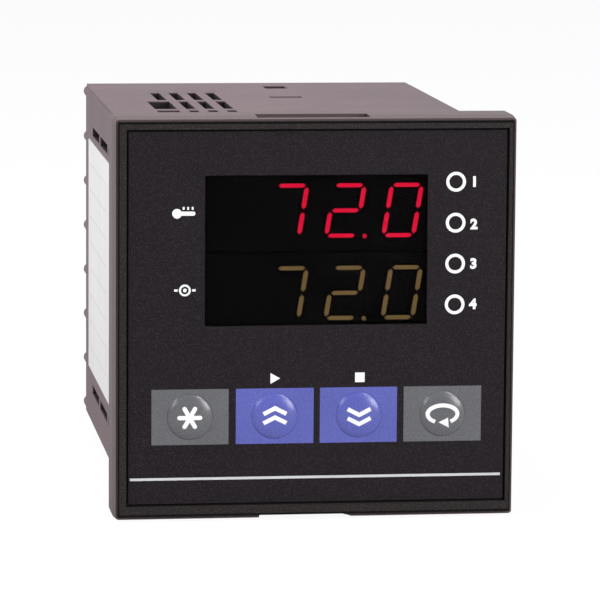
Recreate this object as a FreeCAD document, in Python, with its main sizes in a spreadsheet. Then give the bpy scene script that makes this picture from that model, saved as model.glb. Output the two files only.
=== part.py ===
"""Panel-mounted process temperature controller with a 96 mm square front.

The origin is the centre of the bezel's rear face, the plane that bears on the panel.
+X is to the right of someone who faces the display, +Y is into the panel and +Z is up.
Lengths are in millimetres and angles in degrees.
"""
import FreeCAD
import Part
import Sketcher
import math
import os
import re

SIZES = {
    # bezel
    "bezel_width": 96.0, "bezel_depth": 14.4, "bezel_corner": 1.2,
    "bevel_depth": 5.4, "bevel_inset": 0.5,
    "rim_side": 2.5, "rim_end": 3.2, "pocket_depth": 0.9, "pocket_shift": 0.4,
    "pocket_rise": 0.4, "pocket_corner": 0.8, "plate_thickness": 2.0,
    "skirt_length": 6.0, "skirt_wall": 1.6, "skirt_clearance": 0.2,
    "seat_depth": 0.5, "seat_clearance": 0.2,
    "rim_step": 0.45, "rim_step_depth": 0.6,
    "notch_width": 26.8, "notch_shift": -0.6, "notch_length": 6.0, "notch_floor": 2.6,
    "lip_thickness": 2.4, "recess_left": -13.3, "recess_right": 10.2, "recess_slope": 4.0,
    "recess_rise": 0.8,
    # front film and window
    "film_thickness": 0.4, "film_gap": 0.55,
    "window_width": 53.1, "window_height": 35.8, "window_head": 31.6, "window_fit": 0.1,
    "lens_flange": 1.0, "lens_lap": 2.0, "lens_recess": 0.15,
    # keys
    "key_radius": 5.4, "key_inset": 17.775, "key_shift": 0.3, "key_foot": 24.9, "key_dome": 1.05,
    "key_flange_radius": 6.4, "key_flange": 0.8, "film_clearance": 0.12, "key_clearance": 0.2,
    "plunger_radius": 1.75, "plunger_clearance": 0.2, "plunger_engaged": 1.3, "plunger_room": 0.9,
    "switch_width": 6.0, "switch_height": 3.4,
    # status lights
    "light_gap": 6.65, "light_head": 1.85, "light_pitch": 9.77,
    "light_radius": 1.5, "light_flange_radius": 1.9, "light_flange": 1.0, "light_stem": 3.9,
    "tube_wall": 0.8, "tube_clearance": 0.4, "tube_length": 3.0, "light_hole": 1.3,
    # numeric displays
    "display_gap": 0.1, "display_width": 54.8, "display_height": 19.2, "display_depth": 8.0,
    "display_shift": 0.4, "display_drop": 0.8, "display_pitch": 19.7,
    "digit_pitch": 13.7, "digit_height": 13.0, "digit_width": 8.3, "segment_width": 1.25,
    "segment_gap": 0.14, "digit_slant": 9.0, "point_radius": 0.75, "point_offset": 1.6,
    "reflector_face": 1.0,
    # boards
    "board_thickness": 1.6, "board_clearance": 0.4, "post_inset": 2.9, "post_radius": 2.3,
    "post_screw": 1.0, "post_screw_length": 5.0, "post_screw_head": 2.0, "post_screw_cap": 1.3,
    "thread_clearance": 0.05,
    "board_inset": 12.0, "side_board_clearance": 0.2, "board_start": 8.0,
    "rail_height": 2.0, "rail_width": 1.2, "rail_clearance": 0.15,
    "header_width": 2.5, "header_overlap": 6.0, "header_span": 30.0,
    # case sleeve
    "bezel_lap": 3.75, "case_draw": 0.3, "case_wall": 2.25, "case_length": 120.0, "case_corner": 1.0,
    "vent_width": 2.4, "vent_length": 21.5, "vent_first": -27.9, "vent_pitch": 4.77,
    "vent_row": 35.75, "vent_row_pitch": 25.5, "wide_vent": 5.6, "wide_vent_across": -29.4,
    "side_vent_rise": 34.0,
    "clamp_slot_width": 8.4, "clamp_slot_length": 3.4, "clamp_slot_across": 4.9,
    "clamp_slot_depth": 81.7,
    "latch_width": 5.8, "latch_across": 5.8, "latch_start": 110.0, "latch_length": 7.5,
    "latch_clearance": 0.2,
    "latch_tongue": 1.6, "latch_hook": 1.0,
    # rear cover and terminals
    "cover_depth": 7.9, "cover_plate": 2.5, "rib_radius": 1.5, "rib_proud": 0.85,
    "cover_side_wall": 1.3, "cover_window_clearance": 0.2,
    "terminal_width": 11.8, "terminal_base": 8.0,
    "barrier_thickness": 2.0, "barrier_height": 5.6, "terminal_end_clearance": 0.5,
    "clamp_clearance": 0.1, "clamp_depth": 8.6, "clamp_thickness": 1.0,
    "terminal_screw": 1.6, "terminal_screw_length": 5.5, "terminal_head_margin": 0.4,
    "terminal_head_height": 2.2, "terminal_slot": 0.8, "terminal_slot_depth": 1.0,
    # rating label
    "label_start": 12.0, "label_length": 96.7, "label_height": 60.4, "label_rise": 0.9,
    "label_thickness": 0.2,
    # parts on the power board
    "core_height": 22.0, "core_length": 32.0, "core_width": 30.0, "core_limb": 5.0,
    "coil_overhang": 5.0, "coil_fit": 0.2,
    "fuse_to_core": 10.0, "transformer_inset": 22.0,
    "relay_length": 19.0, "relay_width": 15.4, "relay_height": 15.3, "relay_end_gap": 8.25,
    "relay_inset": 13.0, "relay_pitch": 17.0,
    "reservoir_radius": 8.0, "reservoir_height": 25.0, "reservoir_start": 30.0,
    "filter_radius": 5.0, "filter_height": 16.0, "filter_start": 30.0, "filter_rise": 12.0,
    "fuse_radius": 2.6, "fuse_length": 20.0, "fuse_end_gap": 1.25, "fuse_drop": 8.0,
    "fuse_standoff": 2.0, "fuse_cap": 5.0, "clip_wall": 0.5, "clip_width": 4.0,
    # parts on the logic board
    "chip_width": 14.0, "chip_height": 1.6, "chip_start": 40.0, "chip_rise": 8.0,
    "coupler_length": 9.2, "coupler_width": 6.4, "coupler_height": 3.6,
    "coupler_end_gap": 16.05, "coupler_rise": 12.0,
    "coupler_pitch": 14.0, "crystal_length": 11.0, "crystal_width": 4.6, "crystal_height": 3.6,
    "crystal_start": 22.0,
}

KEYS = ("setup", "up", "down", "enter")
LIGHTS = 4
TERMINALS = 7
VENT_COLUMNS = 4
VENT_ROWS = 3
DIGITS = 4

TOWARDS_X = FreeCAD.Rotation(FreeCAD.Vector(0, 1, 0), 90)
TOWARDS_Y = FreeCAD.Rotation(FreeCAD.Vector(1, 0, 0), -90)
FACING = FreeCAD.Rotation(FreeCAD.Vector(0, 0, 1), 180)

doc = FreeCAD.newDocument("TemperatureController")
nodes = []


# ---------------------------------------------------------------- sheet and expressions

def make_sheet():
    sheet = doc.addObject("Spreadsheet::Sheet", "Sizes")
    for row, (alias, value) in enumerate(SIZES.items(), start=1):
        sheet.set("A%d" % row, alias)
        sheet.set("B%d" % row, repr(value))
        sheet.setAlias("B%d" % row, alias)
    doc.recompute()
    return sheet


sheet = make_sheet()


def formula(text):
    """Turn size names inside an expression into references to the sheet."""
    def refer(match):
        word = match.group(0)
        return "Sizes." + word if word in SIZES else word
    return re.sub(r"[a-z][a-z_]*", refer, str(text))


def bind(thing, prop, text):
    thing.setExpression(prop, formula(text))


def place(thing, x="0", y="0", z="0"):
    for axis, text in zip("xyz", (x, y, z)):
        bind(thing, "Placement.Base." + axis, text)


def size(alias):
    return float(sheet.get(alias))


# Depths of the stacked layers behind the front, as expressions.
POCKET = "(pocket_depth - bezel_depth)"
FILM_FRONT = f"({POCKET} - film_thickness)"
PLATE_BACK = f"({POCKET} + plate_thickness)"
LENS_BACK = f"({PLATE_BACK} + lens_flange)"
DISPLAY_FACE = f"({LENS_BACK} + display_gap)"
BOARD_FRONT = f"({DISPLAY_FACE} + display_depth)"
BOARD_BACK = f"({BOARD_FRONT} + board_thickness)"
SWITCH_TOP = f"({BOARD_FRONT} - switch_height)"
KEY_BACK = f"({PLATE_BACK} + key_flange)"
CASE_FRONT = "(bezel_width - 2 * bezel_lap)"
CASE_REAR = f"({CASE_FRONT} - 2 * case_draw)"
CASE_INSIDE = f"({CASE_FRONT} - 2 * case_wall)"
SKIRT_HALF = f"({CASE_INSIDE} / 2 - skirt_clearance)"
HOLLOW_HALF = f"({SKIRT_HALF} - skirt_wall)"
BOARD_HALF = f"({HOLLOW_HALF} - board_clearance)"
POST_AT = f"({HOLLOW_HALF} - post_inset)"
SIDE_BOARD = f"({CASE_INSIDE} / 2 - board_inset)"
SIDE_BOARD_FACE = f"({SIDE_BOARD} - board_thickness / 2)"
TAPER = "atan(case_draw / case_length)"
COVER_HALF = f"({CASE_REAR} / 2)"
RIM_OUTER = f"({COVER_HALF} - rib_proud)"
RIM_INNER = f"({RIM_OUTER} - cover_side_wall)"
TERMINAL_OUTER = f"({COVER_HALF} - 2 * rib_radius - cover_window_clearance)"
TERMINAL_INNER = f"({TERMINAL_OUTER} - terminal_width)"
TERMINAL_HALF = f"({CASE_INSIDE} / 2 - terminal_end_clearance)"
TERMINAL_FRONT = "(case_length - terminal_base + cover_plate / 2)"
TERMINAL_FLOOR = f"({TERMINAL_FRONT} + terminal_base)"
BOARD_END = TERMINAL_FRONT
POCKET_LEFT = "(pocket_shift + rim_side - bezel_width / 2)"
POCKET_RIGHT = "(pocket_shift - rim_side + bezel_width / 2)"
POCKET_LOW = "(pocket_rise + rim_end - bezel_width / 2)"
POCKET_HIGH = "(pocket_rise - rim_end + bezel_width / 2)"
WINDOW_RISE = "(bezel_width / 2 - window_head)"
DISPLAY_RISE = f"({WINDOW_RISE} - display_drop + display_pitch / 2)"
LIGHT_ACROSS = "(window_width / 2 + light_gap)"
LIGHT_TOP = f"({WINDOW_RISE} + window_height / 2 - light_head)"
KEY_PITCH = f"((bezel_width - 2 * key_inset) / {len(KEYS) - 1})"
KEY_RISE = "(key_foot - bezel_width / 2)"
RIB_PITCH = f"({CASE_INSIDE} / {TERMINALS})"
CLAMP_HALF = f"({RIB_PITCH} / 2 - terminal_end_clearance - barrier_thickness - clamp_clearance)"
TERMINAL_HEAD = f"({CLAMP_HALF} - terminal_head_margin)"
TRANSFORMER_RISE = f"(transformer_inset - {CASE_INSIDE} / 2)"
RELAY_RISE = f"({CASE_INSIDE} / 2 - relay_inset - relay_pitch)"
FUSE_START = f"({BOARD_END} - fuse_end_gap - fuse_length)"
CORE_START = f"({FUSE_START} - fuse_to_core - core_length)"
RELAY_START = f"({BOARD_END} - relay_end_gap - relay_length)"
COUPLER_START = f"({BOARD_END} - coupler_end_gap - coupler_length)"


# ---------------------------------------------------------------- building blocks

def value(text):
    """The number that an expression has now."""
    return float(sheet.evalExpression(formula(text)))


def body(label):
    made = doc.addObject("PartDesign::Body", label)
    made.Label = label
    nodes.append(made)
    return made


def plane_of(host, role):
    return next(f for f in host.Origin.OriginFeatures if f.Role == role)


def box(host, low, high, cut=False):
    """Add or cut a box that runs between two corners."""
    kind = "Subtractive" if cut else "Additive"
    made = host.newObject("PartDesign::%sBox" % kind, "Box")
    for prop, start, end in zip(("Length", "Width", "Height"), low, high):
        bind(made, prop, f"({end}) - ({start})")
    place(made, *low)
    made.Refine = False
    return made


def rod(host, centre, radius, length, cut=False, towards=TOWARDS_Y):
    """Add or cut a cylinder that starts at centre and runs towards +Y, or another way."""
    kind = "Subtractive" if cut else "Additive"
    made = host.newObject("PartDesign::%sCylinder" % kind, "Rod")
    made.Placement.Rotation = towards
    bind(made, "Radius", radius)
    bind(made, "Height", length)
    place(made, *centre)
    made.Refine = False
    return made


def polygon(host, role, corners, arcs=()):
    """A closed sketch with pinned corners; each side listed in arcs has its centre on the sketch's Y axis."""
    sketch = host.newObject("Sketcher::SketchObject", "Profile")
    sketch.AttachmentSupport = (plane_of(host, role), "")
    sketch.MapMode = "FlatFace"
    points = [FreeCAD.Vector(value(x), value(y), 0) for x, y in corners]
    for i, start in enumerate(points):
        end = points[(i + 1) % len(points)]
        if i in arcs:
            sketch.addGeometry(axis_arc(start, end), False)
        else:
            sketch.addGeometry(Part.LineSegment(start, end), False)
    for i, (x, y) in enumerate(corners):
        before = (i - 1) % len(corners)
        arrives = 1 if before in arcs else 2
        leaves = 2 if i in arcs else 1
        sketch.addConstraint(Sketcher.Constraint("Coincident", before, arrives, i, leaves))
        pin(sketch, i, leaves, x, y)
    for i in arcs:
        sketch.addConstraint(Sketcher.Constraint("PointOnObject", i, 3, -2))
    return sketch


def axis_arc(start, end):
    """A clockwise arc from start to end about a centre on the Y axis."""
    height = (start.y + end.y) / 2 + (start.x ** 2 - end.x ** 2) / 2 / (start.y - end.y)
    centre = FreeCAD.Vector(0, height, 0)
    circle = Part.Circle(centre, FreeCAD.Vector(0, 0, 1), (start - centre).Length)
    angles = [math.atan2(p.y - height, p.x) for p in (end, start)]
    return Part.ArcOfCircle(circle, *angles)


def pin(sketch, geometry, corner, x, y):
    """Hold one corner of a sketch at a point given by two expressions."""
    for kind, text in (("DistanceX", x), ("DistanceY", y)):
        constraint = Sketcher.Constraint(kind, -1, 1, geometry, corner, value(text))
        index = sketch.addConstraint(constraint)
        sketch.setExpression("Constraints[%d]" % index, formula(text))


def rounded_square(host, across, radius, start):
    """A square sketch with round corners, centred on the Y axis and facing the front at a depth."""
    sketch = host.newObject("Sketcher::SketchObject", "Outline")
    sketch.AttachmentSupport = (plane_of(host, "XZ_Plane"), "")
    sketch.MapMode = "FlatFace"
    bind(sketch, "AttachmentOffset.Base.z", f"-({start})")
    half = f"({across}) / 2"
    inner = f"({half} - ({radius}))"
    turns = ((inner, half, half, inner), (half, f"-{inner}", inner, f"-{half}"),
             (f"-{inner}", f"-{half}", f"-{half}", f"-{inner}"), (f"-{half}", inner, f"-{inner}", half))
    centres = ((1, 1), (1, -1), (-1, -1), (-1, 1))
    for (x0, z0, x1, z1), (right, up) in zip(turns, centres):
        centre = FreeCAD.Vector(right * value(inner), up * value(inner), 0)
        circle = Part.Circle(centre, FreeCAD.Vector(0, 0, 1), value(radius))
        angles = [math.atan2(value(z) - centre.y, value(x) - centre.x) for x, z in ((x1, z1), (x0, z0))]
        sketch.addGeometry(Part.ArcOfCircle(circle, *angles), False)
    for i, (x0, z0, x1, z1) in enumerate(turns):
        x2, z2 = turns[(i + 1) % 4][:2]
        start_point, end_point = [FreeCAD.Vector(value(x), value(z), 0) for x, z in ((x1, z1), (x2, z2))]
        sketch.addGeometry(Part.LineSegment(start_point, end_point), False)
        sketch.addConstraint(Sketcher.Constraint("Coincident", i, 1, 4 + i, 1))
        sketch.addConstraint(Sketcher.Constraint("Coincident", 4 + i, 2, (i + 1) % 4, 2))
        pin(sketch, 4 + i, 1, x1, z1)
        pin(sketch, 4 + i, 2, x2, z2)
        aligned = "Vertical" if i % 2 else "Horizontal"
        sketch.addConstraint(Sketcher.Constraint(aligned, i, 3, 4 + i, 1))
    return sketch


def pad(host, sketch, length, lean=""):
    """Raise a sketch towards the front; lean is the angle at which its sides draw in."""
    made = host.newObject("PartDesign::Pad", "Pad")
    made.Profile = sketch
    bind(made, "Length", length)
    if lean:
        bind(made, "TaperAngle", f"-{lean}")
    return made


def revolve(host, corners, arcs=()):
    """Turn a profile of (radius, depth) corners about the Y axis."""
    sketch = polygon(host, "XY_Plane", corners, arcs)
    made = host.newObject("PartDesign::Revolution", "Turned")
    made.Profile = sketch
    made.ReferenceAxis = (sketch, ["V_Axis"])
    made.Angle = 360
    return made


def round_edges(host, radius, chosen):
    """Fillet the edges for which chosen(edge) is true."""
    doc.recompute()
    base = host.Tip
    names = ["Edge%d" % (i + 1) for i, e in enumerate(base.Shape.Edges) if chosen(e)]
    made = host.newObject("PartDesign::Fillet", "Rounded")
    made.Base = (base, names)
    bind(made, "Radius", radius)
    return made


def long_corner(edge):
    """True for a straight edge that runs mainly along Y at a corner of a square section."""
    step = edge.Vertexes[-1].Point - edge.Vertexes[0].Point
    return len(edge.Vertexes) == 2 and abs(step.y) > 0.9 * step.Length


def moved(host, x="0", y="0", z="0"):
    """Set a finished body at its place in the part's frame."""
    place(host, x, y, z)
    return host


# ---------------------------------------------------------------- front

def make_bezel():
    bezel = body("bezel")
    straight = "(bezel_depth - bevel_depth)"
    pad(bezel, rounded_square(bezel, "bezel_width", "bezel_corner", "0"), straight)
    pad(bezel, rounded_square(bezel, "bezel_width", "bezel_corner", f"-{straight}"),
        "bevel_depth - rim_step_depth", "atan(bevel_inset / bevel_depth)")
    pad(bezel, rounded_square(bezel, "bezel_width - 2 * bevel_inset - 2 * rim_step", "bezel_corner",
                              "rim_step_depth - bezel_depth"), "rim_step_depth")
    seat = f"({CASE_FRONT} / 2 + seat_clearance)"
    box(bezel, (f"-{seat}", "-seat_depth", f"-{seat}"), (seat, "0", seat), cut=True)
    box(bezel, (f"-{SKIRT_HALF}", "-seat_depth", f"-{SKIRT_HALF}"), (SKIRT_HALF, "skirt_length", SKIRT_HALF))
    box(bezel, (POCKET_LEFT, "-bezel_depth", POCKET_LOW), (POCKET_RIGHT, POCKET, POCKET_HIGH), cut=True)
    box(bezel, (f"-{HOLLOW_HALF}", PLATE_BACK, f"-{HOLLOW_HALF}"),
        (HOLLOW_HALF, "skirt_length", HOLLOW_HALF), cut=True)
    cut_window(bezel, POCKET, PLATE_BACK)
    for sign in ("-", ""):
        cut_notch(bezel, sign)
    cut_recess(bezel)
    for across in key_places():
        rod(bezel, (across, POCKET, KEY_RISE), "key_radius + key_clearance", "plate_thickness", cut=True)
    for x in ("-" + POST_AT, POST_AT):
        for z in ("-" + POST_AT, POST_AT):
            rod(bezel, (x, PLATE_BACK, z), "post_radius", f"{BOARD_FRONT} - {PLATE_BACK}")
            rod(bezel, (x, f"{BOARD_FRONT} - post_screw_length", z),
                "post_screw + thread_clearance", "post_screw_length", cut=True)
    for height in light_places():
        rod(bezel, (LIGHT_ACROSS, PLATE_BACK, height),
            "light_radius + tube_clearance + tube_wall", "tube_length")
        rod(bezel, (LIGHT_ACROSS, PLATE_BACK, height),
            "light_radius + tube_clearance", "tube_length", cut=True)
        rod(bezel, (LIGHT_ACROSS, POCKET, height), "light_hole", "plate_thickness", cut=True)


def cut_window(host, start, end):
    box(host, ("-window_width / 2", start, f"{WINDOW_RISE} - window_height / 2"),
        ("window_width / 2", end, f"{WINDOW_RISE} + window_height / 2"), cut=True)


def cut_notch(bezel, sign):
    """A finger notch behind a lip in the upper or lower edge."""
    levels = ("bezel_width / 2 - notch_floor", "bezel_width / 2")
    low, high = levels if not sign else [f"-({level})" for level in reversed(levels)]
    start = "lip_thickness - bezel_depth"
    box(bezel, ("notch_shift - notch_width / 2", start, low),
        ("notch_shift + notch_width / 2", f"{start} + notch_length", high), cut=True)


def cut_recess(bezel):
    """A shallow recess in the lower lip, with one square end and one sloping end."""
    outer = "-bezel_width / 2"
    level = "(bevel_inset + recess_rise - bezel_width / 2)"
    corners = (("recess_left", outer), ("recess_right", outer),
               ("recess_right - recess_slope", level), ("recess_left", level))
    sketch = polygon(bezel, "XZ_Plane", corners)
    bind(sketch, "AttachmentOffset.Base.z", "bezel_depth")
    made = bezel.newObject("PartDesign::Pocket", "Recess")
    made.Profile = sketch
    bind(made, "Length", "lip_thickness")


def key_places():
    count = len(KEYS)
    return [f"(key_shift + {KEY_PITCH} * {i - (count - 1) / 2})" for i in range(count)]


def light_places():
    return [f"({LIGHT_TOP} - light_pitch * {i})" for i in range(LIGHTS)]


def make_film():
    film = body("front_film")
    low = (f"{POCKET_LEFT} + film_gap", FILM_FRONT, f"{POCKET_LOW} + film_gap")
    high = (f"{POCKET_RIGHT} - film_gap", POCKET, f"{POCKET_HIGH} - film_gap")
    box(film, low, high)
    round_edges(film, "pocket_corner", long_corner)
    cut_window(film, FILM_FRONT, POCKET)
    for across in key_places():
        rod(film, (across, FILM_FRONT, KEY_RISE), "key_radius + film_clearance",
            "film_thickness", cut=True)


def make_window():
    lens = body("display_window")
    half = "(window_width / 2 - window_fit)"
    top = "(window_height / 2 - window_fit)"
    box(lens, (f"-{half}", f"{FILM_FRONT} + lens_recess", f"{WINDOW_RISE} - {top}"),
        (half, PLATE_BACK, f"{WINDOW_RISE} + {top}"))
    half = "(window_width / 2 + lens_lap)"
    top = "(window_height / 2 + lens_lap)"
    box(lens, (f"-{half}", PLATE_BACK, f"{WINDOW_RISE} - {top}"),
        (half, LENS_BACK, f"{WINDOW_RISE} + {top}"))


def make_keys():
    """Each key is a domed cap held behind the plate by a flange; its axis is the body's Y axis."""
    for name, across in zip(KEYS, key_places()):
        key = body("key_" + name)
        revolve(key, (("0", "key_dome + film_thickness"), ("key_radius", "film_thickness"),
                      ("key_radius", "-plate_thickness"), ("key_flange_radius", "-plate_thickness"),
                      ("key_flange_radius", "-plate_thickness - key_flange"),
                      ("0", "-plate_thickness - key_flange")), arcs=(0,))
        key.Placement.Rotation = FACING
        moved(key, across, POCKET, KEY_RISE)


def make_key_switches():
    for name, across in zip(KEYS, key_places()):
        plunger = body("plunger_" + name)
        rod(plunger, ("0", "0", "0"), "plunger_radius", f"{SWITCH_TOP} - {KEY_BACK} + plunger_engaged")
        moved(plunger, across, KEY_BACK, KEY_RISE)
        switch = body("key_switch_" + name)
        half = "switch_width / 2"
        box(switch, (f"-{half}", "0", f"-{half}"), (half, "switch_height", half))
        rod(switch, ("0", "0", "0"), "plunger_radius + plunger_clearance",
            "plunger_engaged + plunger_room", cut=True)
        moved(switch, across, SWITCH_TOP, KEY_RISE)


def make_lights():
    """Round lamps with a domed tip, standing on the display board."""
    for i, height in enumerate(light_places()):
        lamp = body("status_light_%d" % (i + 1))
        revolve(lamp, (("0", "light_flange + light_stem + light_radius"),
                       ("light_radius", "light_flange + light_stem"), ("light_radius", "light_flange"),
                       ("light_flange_radius", "light_flange"), ("light_flange_radius", "0"),
                       ("0", "0")), arcs=(0,))
        lamp.Placement.Rotation = FACING
        moved(lamp, LIGHT_ACROSS, BOARD_FRONT, height)


def segment_outlines():
    """The seven bars of one digit, upright about its centre, as lists of (x, z) corners."""
    wide, tall = size("digit_width"), size("digit_height")
    bar, gap = size("segment_width"), size("segment_gap")
    side = wide / 2 - bar / 2
    level = tall / 2 - bar / 2
    outlines = [long_hexagon((-side + gap, z), (side - gap, z), bar) for z in (level, 0, -level)]
    for x in (-side, side):
        for low, high in ((gap, level - gap), (gap - level, -gap)):
            outlines.append(long_hexagon((x, low), (x, high), bar))
    return outlines


def long_hexagon(start, end, bar):
    """Corners of a bar with pointed ends, lying along x or along z."""
    (x0, z0), (x1, z1) = start, end
    half = bar / 2
    if z0 == z1:
        return [(x0, z0), (x0 + half, z0 + half), (x1 - half, z1 + half), (x1, z1),
                (x1 - half, z1 - half), (x0 + half, z0 - half)]
    return [(x0, z0), (x0 + half, z0 + half), (x1 + half, z1 - half), (x1, z1),
            (x1 - half, z1 - half), (x0 - half, z0 + half)]


def digit_prisms(height, start, depth):
    """All bars and decimal points of one row, as solids that start at a depth and run along +Y."""
    slope = math.tan(math.radians(size("digit_slant")))
    solids = []
    for i in range(DIGITS):
        centre = size("display_shift") + size("digit_pitch") * (i - (DIGITS - 1) / 2)
        for outline in segment_outlines():
            corners = [FreeCAD.Vector(centre + x + z * slope, start, height + z) for x, z in outline]
            face = Part.Face(Part.makePolygon(corners + corners[:1]))
            solids.append(face.extrude(FreeCAD.Vector(0, depth, 0)))
        low = size("point_radius") - size("digit_height") / 2
        across = centre + size("digit_width") / 2 + size("point_offset") + low * slope
        base = FreeCAD.Vector(across, start, height + low)
        solids.append(Part.makeCylinder(size("point_radius"), depth, base, FreeCAD.Vector(0, 1, 0)))
    return solids


def feature(label, shape):
    made = doc.addObject("Part::Feature", label)
    made.Label = label
    made.Shape = shape
    made.Placement = FreeCAD.Placement()
    nodes.append(made)
    return made


def make_displays():
    """Each display is a black reflector with a cast lens that fills it and shows through its face."""
    face, back = value(DISPLAY_FACE), value(BOARD_FRONT)
    half = size("display_width") / 2
    tall = size("display_height") / 2
    skin = size("reflector_face")
    for i, label in enumerate(("display_upper", "display_lower")):
        height = value(DISPLAY_RISE) - i * size("display_pitch")
        left, low = size("display_shift") - half, height - tall
        outer = Part.makeBox(2 * half, back - face, 2 * tall, FreeCAD.Vector(left, face, low))
        inner = Part.makeBox(2 * (half - skin), back - face - skin, 2 * (tall - skin),
                             FreeCAD.Vector(left + skin, face + skin, low + skin))
        filling = inner.fuse(digit_prisms(height, face, 2 * skin)).removeSplitter()
        feature(label, outer.cut(filling))
        feature(label + "_lens", filling)


# ---------------------------------------------------------------- boards

def make_display_board():
    board = body("display_board")
    box(board, (f"-{BOARD_HALF}", BOARD_FRONT, f"-{BOARD_HALF}"), (BOARD_HALF, BOARD_BACK, BOARD_HALF))
    for x in ("-" + POST_AT, POST_AT):
        for z in ("-" + POST_AT, POST_AT):
            rod(board, (x, BOARD_FRONT, z), "post_screw + thread_clearance", "board_thickness", cut=True)


def make_side_board(label, sign):
    board = body(label)
    half = f"({CASE_INSIDE} / 2 - side_board_clearance)"
    edges = [f"{sign}{SIDE_BOARD} - board_thickness / 2", f"{sign}{SIDE_BOARD} + board_thickness / 2"]
    box(board, (edges[0], "board_start", f"-{half}"), (edges[1], BOARD_END, half))


def on_board(host, sign, start, rise, length, width, height):
    """A box that stands on a side board's inner face, start and length along Y, width along Z."""
    inner, outer = f"{SIDE_BOARD_FACE} - ({height})", SIDE_BOARD_FACE
    xs = (inner, outer) if not sign else (f"-{outer}", f"-({inner})")
    half = f"({width}) / 2"
    return box(host, (xs[0], start, f"{rise} - {half}"), (xs[1], f"{start} + ({length})", f"{rise} + {half}"))


def make_headers():
    for label, sign in (("power_header", "-"), ("logic_header", "")):
        header = body(label)
        on_board(header, sign, BOARD_BACK, "0", f"board_start + header_overlap - {BOARD_BACK}",
                 "header_span", "header_width")


def make_transformer():
    core = body("transformer_core")
    rise = TRANSFORMER_RISE
    on_board(core, "-", CORE_START, rise, "core_length", "core_width", "core_height")
    low = f"-{SIDE_BOARD_FACE} + core_limb"
    high = f"-{SIDE_BOARD_FACE} + core_height - core_limb"
    middle = f"{CORE_START} + core_length / 2"
    for near, far in ((f"{CORE_START} + core_limb", f"{middle} - core_limb"),
                      (f"{middle} + core_limb", f"{CORE_START} + core_length - core_limb")):
        box(core, (low, near, f"{rise} - core_width / 2"), (high, far, f"{rise} + core_width / 2"), cut=True)
    coil = body("transformer_coil")
    side = "(core_width / 2 + coil_overhang)"
    box(coil, (f"{low} + coil_fit", f"{CORE_START} + core_limb + coil_fit", f"{rise} - {side}"),
        (f"{high} - coil_fit", f"{CORE_START} + core_length - core_limb - coil_fit", f"{rise} + {side}"))
    side = "(core_width / 2 + coil_fit)"
    box(coil, (low, f"{middle} - core_limb - coil_fit", f"{rise} - {side}"),
        (high, f"{middle} + core_limb + coil_fit", f"{rise} + {side}"), cut=True)


def make_power_parts():
    for i in range(2):
        relay = body("relay_%d" % (i + 1))
        on_board(relay, "-", RELAY_START, f"({RELAY_RISE} + {i} * relay_pitch)",
                 "relay_length", "relay_width", "relay_height")
    for label, radius, tall, start, rise in (
            ("reservoir_capacitor", "reservoir_radius", "reservoir_height", "reservoir_start",
             TRANSFORMER_RISE),
            ("filter_capacitor", "filter_radius", "filter_height", "filter_start", "filter_rise")):
        can = body(label)
        rod(can, (f"-{SIDE_BOARD_FACE}", start, rise), radius, tall, towards=TOWARDS_X)
    make_fuse()


def make_fuse():
    fuse = body("fuse")
    axis = f"-{SIDE_BOARD_FACE} + fuse_standoff + fuse_radius"
    rod(fuse, (axis, FUSE_START, "-fuse_drop"), "fuse_radius", "fuse_length")
    for name, start in (("front", f"{FUSE_START} + fuse_cap / 2 - clip_width / 2"),
                        ("rear", f"{FUSE_START} + fuse_length - fuse_cap / 2 - clip_width / 2")):
        clip = body("fuse_clip_" + name)
        on_board(clip, "-", start, "-fuse_drop", "clip_width", "2 * (fuse_radius + clip_wall)",
                 "fuse_standoff + fuse_radius * 1.5")
        rod(clip, (axis, start, "-fuse_drop"), "fuse_radius + thread_clearance", "clip_width", cut=True)


def make_logic_parts():
    chip = body("controller_chip")
    on_board(chip, "", "chip_start", "chip_rise", "chip_width", "chip_width", "chip_height")
    for i in range(2):
        coupler = body("optocoupler_%d" % (i + 1))
        on_board(coupler, "", COUPLER_START, f"(coupler_rise + {i} * coupler_pitch)",
                 "coupler_length", "coupler_width", "coupler_height")
    crystal = body("crystal")
    on_board(crystal, "", "crystal_start", "chip_rise", "crystal_length", "crystal_width", "crystal_height")


# ---------------------------------------------------------------- case

def make_case():
    """A moulded sleeve that draws in towards the rear, with all its openings cut in one step."""
    shell = doc.addObject("PartDesign::Body", "case_shell")
    sleeve = pad(shell, rounded_square(shell, CASE_REAR, "case_corner", "case_length"),
                 "case_length + seat_depth", f"-{TAPER}")
    sleeve.Refine = False
    hollow = f"{CASE_INSIDE} / 2"
    box(shell, (f"-{hollow}", "-seat_depth", f"-{hollow}"), (hollow, "case_length", hollow), cut=True)
    for sign in ("-", ""):
        add_rails(shell, sign)
    openings = []
    walls = ((f"-{CASE_FRONT} / 2", f"-{hollow}"), (hollow, f"{CASE_FRONT} / 2"))
    for wall in walls:
        openings += vents(wall) + latch_openings(wall) + side_vents(wall)
    tools = doc.addObject("Part::Compound", "case_openings")
    tools.Links = openings
    case = part_cut(shell, tools)
    case.Label = "case"
    nodes.append(case)


def add_rails(case, sign):
    """Four rails, one either side of a board's top and bottom edges."""
    gap = "(board_thickness / 2 + rail_clearance)"
    for near, far in ((f"- {gap} - rail_width", f"- {gap}"), (f"+ {gap}", f"+ {gap} + rail_width")):
        xs = (f"{sign}{SIDE_BOARD} {near}", f"{sign}{SIDE_BOARD} {far}")
        for zs in ((f"-{CASE_INSIDE} / 2", f"rail_height - {CASE_INSIDE} / 2"),
                   (f"{CASE_INSIDE} / 2 - rail_height", f"{CASE_INSIDE} / 2")):
            box(case, (xs[0], "board_start", zs[0]), (xs[1], BOARD_END, zs[1]))


def vent_starts():
    return [f"(vent_row + {row} * vent_row_pitch - vent_length / 2)" for row in range(VENT_ROWS)]


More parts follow.
